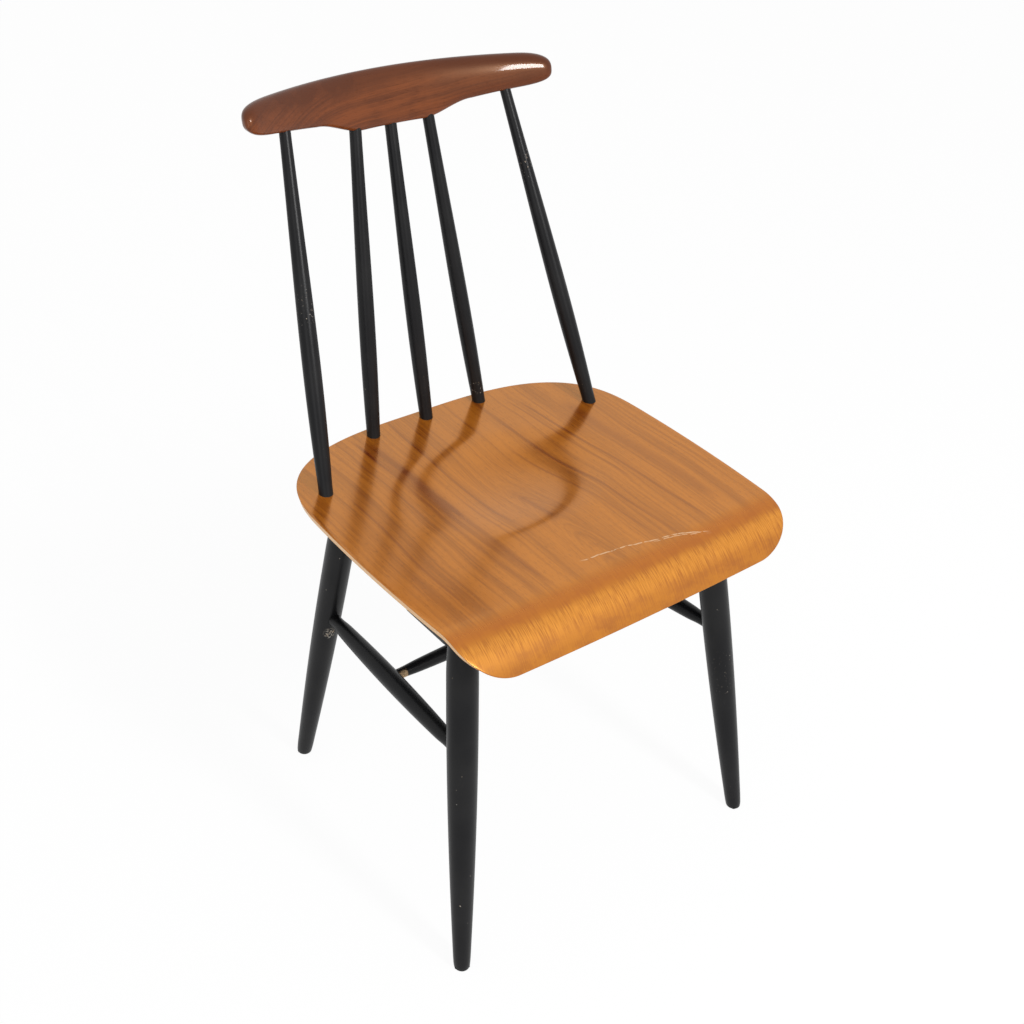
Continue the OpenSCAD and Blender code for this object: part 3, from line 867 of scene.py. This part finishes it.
def spindle_profile(thick, top, back):
    """Radii from the tenon under the seat to the end in the rail."""
    lower, upper = back.spindle_foot / 2, top / 2
    r = thick / 2
    # the swell is thickest a third of the way up and tapers over a longer reach
    thickest, reach = 0.33, 0.80
    whole_fall = smooth_step((1 - thickest) / reach)
    out = []
    for s in np.linspace(0, 1, 15):
        if s < thickest:
            out.append((s, lower + (r - lower) * math.sin(math.pi / 2 * s / thickest)))
        else:
            fall = smooth_step((s - thickest) / reach) / whole_fall
            out.append((s, upper + (r - upper) * (1 - fall)))
    return out


class CHAIR_OT_spindles(bpy.types.Operator):
    """Turn the five back spindles"""

    bl_idname = "chair.spindles"
    bl_label = "Spindles"

    def execute(self, context):
        _, b, _ = sizes()
        chips = {
            "spindle_left_outer": [
                ((-0.163, 0.139, 0.607), 0.016, 3.0, 0.36),
                ((-0.18, 0.083, 0.47), 0.02, 2.0, 0.31),
            ],
            "spindle_right_outer": [
                ((0.149, 0.177, 0.70), 0.014, 2.5, 0.37),
                ((0.18, 0.08, 0.46), 0.012, 1.0, 0.33),
            ],
            "spindle_right_inner": [((0.073, 0.144, 0.452), 0.012, 1.0, 0.38)],
            "spindle_left_inner": [((-0.073, 0.144, 0.46), 0.012, 1.0, 0.33)],
            "spindle_middle": [((0.0, 0.145, 0.455), 0.012, 1.0, 0.33)],
        }
        outer = (b.spindle, b.spindle_top)
        inner = (b.spindle - b.spindle_slim, b.spindle_top + b.spindle_top_more)
        rows = [
            ("spindle_left_outer", left(OUTER_FOOT), left(OUTER_HEAD), *outer),
            ("spindle_left_inner", left(INNER_FOOT), left(INNER_HEAD), *inner),
            ("spindle_middle", MID_FOOT, MID_HEAD, *inner),
            ("spindle_right_inner", INNER_FOOT, INNER_HEAD, *inner),
            ("spindle_right_outer", OUTER_FOOT, OUTER_HEAD, *outer),
        ]
        for node, foot, head, thick, top in rows:
            run = (head - foot).length
            below = 0.007
            radii = [(-below, b.spindle_foot / 2)]
            radii += [(s * run, r) for s, r in spindle_profile(thick, top, b)]
            radii += [(run + b.rail_socket, top / 2)]
            paint = black_paint("paint_" + node, chips[node], scuff=PALE_SCUFF)
            piece = turned_piece(node, foot, head, radii, 96, 48, paint)
            settle(piece, "black_paint", node)
        return {"FINISHED"}


def leg_profile(run, thick, legs):
    """Radii up a leg from the floor to its head."""
    r0, r1 = legs.leg_foot / 2, thick / 2
    first, steps, taper = 0.006, 10, 0.76
    out = [(first, r0)]
    for i in range(1, steps + 1):
        rise = math.sin(math.pi / 2 * (i / steps) ** 0.92)
        out.append((first + taper * run * i / steps, r0 + (r1 - r0) * rise))
    out += [
        (0.84 * run, r1),
        (0.9 * run, r1 - 0.0006),
        (0.96 * run, legs.leg_head / 2 + 0.0015),
        (0.985 * run, legs.leg_head / 2),
    ]
    return out


def saw_level(work):
    """Cuts a leg off flat at the floor and eases the edge of the cut."""
    geometry = work.verts[:] + work.edges[:] + work.faces[:]
    floor = {"plane_co": (0, 0, 0), "plane_no": (0, 0, 1)}
    bmesh.ops.bisect_plane(work, geom=geometry, dist=1e-6, clear_inner=True, **floor)
    rim = [e for e in work.edges if e.is_boundary]
    bmesh.ops.contextual_create(work, geom=rim)
    bmesh.ops.bevel(work, geom=rim, offset=0.0008, segments=2, profile=0.5, affect="EDGES")


class CHAIR_OT_legs(bpy.types.Operator):
    """Turn the four splayed legs"""

    bl_idname = "chair.legs"
    bl_label = "Legs"

    def execute(self, context):
        _, _, legs = sizes()
        scuff = left(at_height(REAR_FOOT, REAR_HEAD, 0.222))
        chips = {
            "leg_rear_left": [((scuff.x - 0.004, scuff.y - 0.014, scuff.z), 0.009, 1.2, 0.50)],
            "leg_front_right": [((0.187, -0.215, 0.21), 0.03, 2.0, 0.335)],
            "leg_front_left": [((-0.2, -0.225, 0.05), 0.02, 2.0, 0.33)],
            "leg_rear_right": [((0.165, 0.11, 0.1), 0.02, 2.0, 0.33)],
        }
        rear = legs.leg - legs.rear_slim
        rows = [
            ("leg_front_left", left(FRONT_FOOT), left(FRONT_HEAD), legs.leg),
            ("leg_front_right", FRONT_FOOT, FRONT_HEAD, legs.leg),
            ("leg_rear_left", left(REAR_FOOT), left(REAR_HEAD), rear),
            ("leg_rear_right", REAR_FOOT, REAR_HEAD, rear),
        ]
        for node, foot, head, thick in rows:
            run = (head - foot).length
            below, above = 0.004, 0.012
            r0 = legs.leg_foot / 2
            radii = [(-below, r0 - 0.0022), (0.0, r0 - 0.0008)]
            radii += leg_profile(run, thick, legs)
            radii += [(run + above, legs.leg_head / 2)]
            paint = black_paint("paint_" + node, chips[node], scuff=PALE_SCUFF)
            piece = turned_piece(node, foot, head, radii, 120, 64, paint)
            face_outwards(piece.data, saw_level)
            settle(piece, "black_paint", node)
        return {"FINISHED"}


class CHAIR_OT_stretchers(bpy.types.Operator):
    """Turn the two side stretchers and the cross stretcher"""

    bl_idname = "chair.stretchers"
    bl_label = "Stretchers"

    def execute(self, context):
        _, _, legs = sizes()
        # thickness, end, how much hides in a leg or stretcher, how far past the joint, bare end
        side = (legs.side, legs.side_end, legs.leg / 2 + 0.003, 0.004, None)
        bare_from = -CROSS_JOINT.x + legs.side / 2 + 0.0055
        cross = (legs.cross, legs.cross_end, legs.side / 2, 0.002, bare_from)
        rows = [
            ("side_stretcher_left", left(REAR_JOINT), left(FRONT_JOINT), *side),
            ("side_stretcher_right", REAR_JOINT, FRONT_JOINT, *side),
            ("cross_stretcher", left(CROSS_JOINT), CROSS_JOINT, *cross),
        ]
        for node, a, b, thick, end, hidden, past, bare in rows:
            run = (b - a).length
            radii = [(-past, end / 2), (hidden, end / 2)]
            for i in range(1, 12):
                swell = math.sin(math.pi * i / 12) ** 0.72
                along = hidden + (run - 2 * hidden) * i / 12
                radii.append((along, end / 2 + (thick - end) / 2 * swell))
            radii += [(run - hidden, end / 2), (run + past, end / 2)]
            paint = black_paint("paint_" + node, bare_end=bare)
            piece = turned_piece(node, a, b, radii, 90, 48, paint)
            settle(piece, "black_paint", node)
        return {"FINISHED"}


# ---- battens and screws


def merge_flats(work):
    """Joins doubled points and takes out the edges inside flat faces."""
    bmesh.ops.remove_doubles(work, verts=work.verts, dist=1e-6)
    bmesh.ops.dissolve_limit(work, angle_limit=math.radians(1), verts=work.verts, edges=work.edges)


class CHAIR_OT_battens(bpy.types.Operator):
    """Ease the edges of the two battens under the seat and paint them"""

    bl_idname = "chair.battens"
    bl_label = "Battens"

    def execute(self, context):
        for node in ("front_batten", "rear_batten"):
            mesh = frame["nodes"][node].data.copy()
            mesh.name = node + "_eased"
            face_outwards(mesh, merge_flats)
            mesh.materials.clear()
            mesh.materials.append(black_paint("paint_" + node))
            piece = link(node + "_eased", mesh)
            bevel = piece.modifiers.new("eased", "BEVEL")
            bevel.width, bevel.segments = 0.0016, 3
            bevel.limit_method, bevel.angle_limit = "ANGLE", math.radians(50)
            bevel.use_clamp_overlap = True
            eased = evaluated(piece)
            piece.modifiers.remove(bevel)
            piece.data = eased
            smooth(eased, 35)
            settle(piece, "black_paint", node)
        return {"FINISHED"}


class CHAIR_OT_screws(bpy.types.Operator):
    """Set the slotted countersunk screws that hold the seat to its battens"""

    bl_idname = "chair.screws"
    bl_label = "Screws"

    def execute(self, context):
        inputs = dict.fromkeys(("Head radius", "Shank radius", "Shank length"), "Float")
        t = Tree("countersunk_screws", {"Places": "Object", **inputs})
        thin, wide, long = t.input("Shank radius"), t.input("Head radius"), t.input("Shank length")
        cone = {"Vertices": 40, "Radius Top": thin, "Radius Bottom": wide, "Depth": 0.002}
        head = t.node("GeometryNodeMeshCone", {}, cone)
        shank = t.node("GeometryNodeMeshCylinder", {}, {"Vertices": 24, "Radius": thin, "Depth": long})
        up = t.node("ShaderNodeMath", {"operation": "MULTIPLY"}, {0: long, 1: 0.5})
        lift = t.node("ShaderNodeCombineXYZ", {}, {2: up})
        shank = t.node("GeometryNodeTransform", {}, {"Geometry": shank, "Translation": lift})
        groove = t.node("GeometryNodeMeshCube", {}, {"Size": (0.012, 0.0011, 0.0016)})
        cutters = {"Mesh 1": head, "Mesh 2": groove}
        cut_head = t.node("GeometryNodeMeshBoolean", {"operation": "DIFFERENCE"}, cutters)
        both = t.node("GeometryNodeJoinGeometry")
        joiner = t.last
        t.tree.links.new(cut_head, joiner.inputs[0])
        t.tree.links.new(shank, joiner.inputs[0])
        t.node("GeometryNodeObjectInfo", {}, {"Object": t.input("Places")})
        places_node = t.last
        t.node("FunctionNodeRandomValue", {"data_type": "FLOAT"}, {"Seed": 5})
        turn_node = t.last
        turn_node.inputs[2].default_value, turn_node.inputs[3].default_value = 0.0, math.pi
        spin = t.node("ShaderNodeCombineXYZ", {}, {2: turn_node.outputs[1]})
        spots = t.node("GeometryNodeMeshToPoints", {}, {"Mesh": places_node.outputs["Geometry"]})
        copies = {"Points": spots, "Instance": both, "Rotation": spin}
        screws = t.node("GeometryNodeInstanceOnPoints", {}, copies)
        t.finish(screws)
        steel = plain_steel()
        rows = {
            "batten_screws_front": [(-0.128, -0.148), (-0.052, -0.148), (0.052, -0.148), (0.128, -0.148)],
            "batten_screws_rear": [(-0.112, 0.108), (-0.036, 0.122), (0.036, 0.122), (0.112, 0.108)],
        }
        for node, spots in rows.items():
            marks = bpy.data.meshes.new(node + "_marks")
            marks.from_pydata([(x, y, BATTEN_Z + 0.0003) for x, y in spots], [], [])
            holder = link(node + "_marks", marks)
            bpy.context.view_layer.update()
            sizing = {"Head radius": 0.004, "Shank radius": 0.002, "Shank length": 0.0224}
            piece = t.make(node + "_set", {"Places": holder, "Material": steel, **sizing})
            bpy.data.objects.remove(holder)
            settle(piece, "screw_steel", node)
        return {"FINISHED"}


# ---- stage


def soft_lamp(name, place, aim, size, power):
    data = bpy.data.lights.new(name, "AREA")
    data.shape, data.size, data.size_y = "RECTANGLE", size[0], size[1]
    data.energy = power
    lamp = link(name, data)
    lamp.location = place
    lamp.rotation_mode = "QUATERNION"
    lamp.rotation_quaternion = (Vector(aim) - Vector(place)).to_track_quat("-Z", "Y")


class CHAIR_OT_stage(bpy.types.Operator):
    """Lay the pale floor, hang the lamps and place the camera"""

    bl_idname = "chair.stage"
    bl_label = "Stage"

    def execute(self, context):
        st = context.scene.chair_stage
        self.floor()
        self.sky()
        soft_lamp("strip_lamp", (0.2, -1.8, 1.75), (0.1, 0.1, 0.78), (0.3, 0.6), 32)
        soft_lamp("left_lamp", (-2.2, -1.6, 1.2), (0, 0, 0.4), (1.2, 1.2), 7)
        data = bpy.data.cameras.new("camera")
        data.lens, data.sensor_width = st.lens, 36.0
        data.dof.use_dof = False
        data.clip_start, data.clip_end = 0.05, 60.0
        camera = link("camera", data)
        az, el, roll = st.azimuth, st.elevation, st.roll
        back = Vector((math.sin(az) * math.cos(el), -math.cos(az) * math.cos(el), math.sin(el)))
        right = Vector((math.cos(az), math.sin(az), 0))
        up = back.cross(right)
        right, up = (
            right * math.cos(roll) + up * math.sin(roll),
            up * math.cos(roll) - right * math.sin(roll),
        )
        turn = Matrix((right, up, back)).transposed().to_4x4()
        camera.matrix_world = Matrix.Translation(Vector(st.look_at) + back * st.distance) @ turn
        context.scene.camera = camera
        context.scene.view_settings.view_transform = "Standard"
        return {"FINISHED"}

    def floor(self):
        """White floor that shows near white to the eye and keeps a faint shadow."""
        f = Finish("white_floor")
        cloud = f.noise(f.object_coords(), 6.0, 2.0)
        pale = f.mix((0.86, 0.86, 0.86), (0.88, 0.88, 0.88), cloud)
        matte = f.node("ShaderNodeBsdfDiffuse", {}, {"Color": pale, "Roughness": 0.5})
        glow = f.node("ShaderNodeEmission", {}, {"Color": (1, 1, 1, 1), "Strength": 1.0})
        # the rest of the share shows the matte floor, and with it the shadow
        glow_share = 0.94
        share = f.white_rays() * glow_share
        f.finish(f.node("ShaderNodeMixShader", {}, {0: share, 1: matte, 2: glow}))
        size, drop = 14.0, -0.0004
        points = [(-size, -size, drop), (size, -size, drop), (size, size, drop), (-size, size, drop)]
        plane = new_mesh_object("floor", points, [(0, 1, 2, 3)], f.material)

    def sky(self):
        """Soft light from all round, which shows white to the eye and in gloss."""
        world = bpy.context.scene.world or bpy.data.worlds.new("studio")
        bpy.context.scene.world = world
        f = Finish("studio", world)
        fill_level = 0.76
        fill = f.node("ShaderNodeBackground", {}, {0: (1, 1, 1, 1), 1: fill_level})
        white = f.node("ShaderNodeBackground", {}, {0: (1, 1, 1, 1), 1: 1.0})
        f.finish(f.node("ShaderNodeMixShader", {}, {0: f.white_rays(), 1: fill, 2: white}))


# ---- panel and registration


class CHAIR_PT_panel(bpy.types.Panel):
    """Lists the chair's sizes, colours and pieces"""

    bl_idname = "CHAIR_PT_panel"
    bl_label = "Dining chair"
    bl_space_type = "VIEW_3D"
    bl_region_type = "UI"
    bl_category = "Chair"

    def draw(self, context):
        for label, group, _ in GROUPS:
            box = self.layout.box()
            box.label(text=label)
            settings = getattr(context.scene, group)
            for key in settings.bl_rna.properties.keys():
                if key not in ("rna_type", "name"):
                    box.prop(settings, key)
        for operator in OPERATORS:
            self.layout.operator(operator.bl_idname)


GROUPS = (
    ("Seat", "chair_seat", ChairSeat),
    ("Back", "chair_back", ChairBack),
    ("Legs and stretchers", "chair_legs", ChairLegs),
    ("Colours", "chair_colours", ChairColours),
    ("Stage", "chair_stage", ChairStage),
)
OPERATORS = (
    CHAIR_OT_stage,
    CHAIR_OT_seat,
    CHAIR_OT_crest_rail,
    CHAIR_OT_spindles,
    CHAIR_OT_legs,
    CHAIR_OT_stretchers,
    CHAIR_OT_battens,
    CHAIR_OT_screws,
)
CLASSES = (*(kind for _, _, kind in GROUPS), *OPERATORS, CHAIR_PT_panel)


def register():
    for kind in CLASSES:
        bpy.utils.register_class(kind)
    for _, name, kind in GROUPS:
        setattr(bpy.types.Scene, name, PointerProperty(type=kind))


def unregister():
    for _, name, _ in GROUPS:
        delattr(bpy.types.Scene, name)
    for kind in reversed(CLASSES):
        bpy.utils.unregister_class(kind)


def main():
    register()
    for o in list(bpy.context.scene.objects):
        if o.name in ("Cube", "Light", "Camera"):
            bpy.data.objects.remove(o)
    for operator in OPERATORS:
        getattr(bpy.ops.chair, operator.bl_idname.removeprefix("chair."))()


if __name__ == "__main__":
    main()
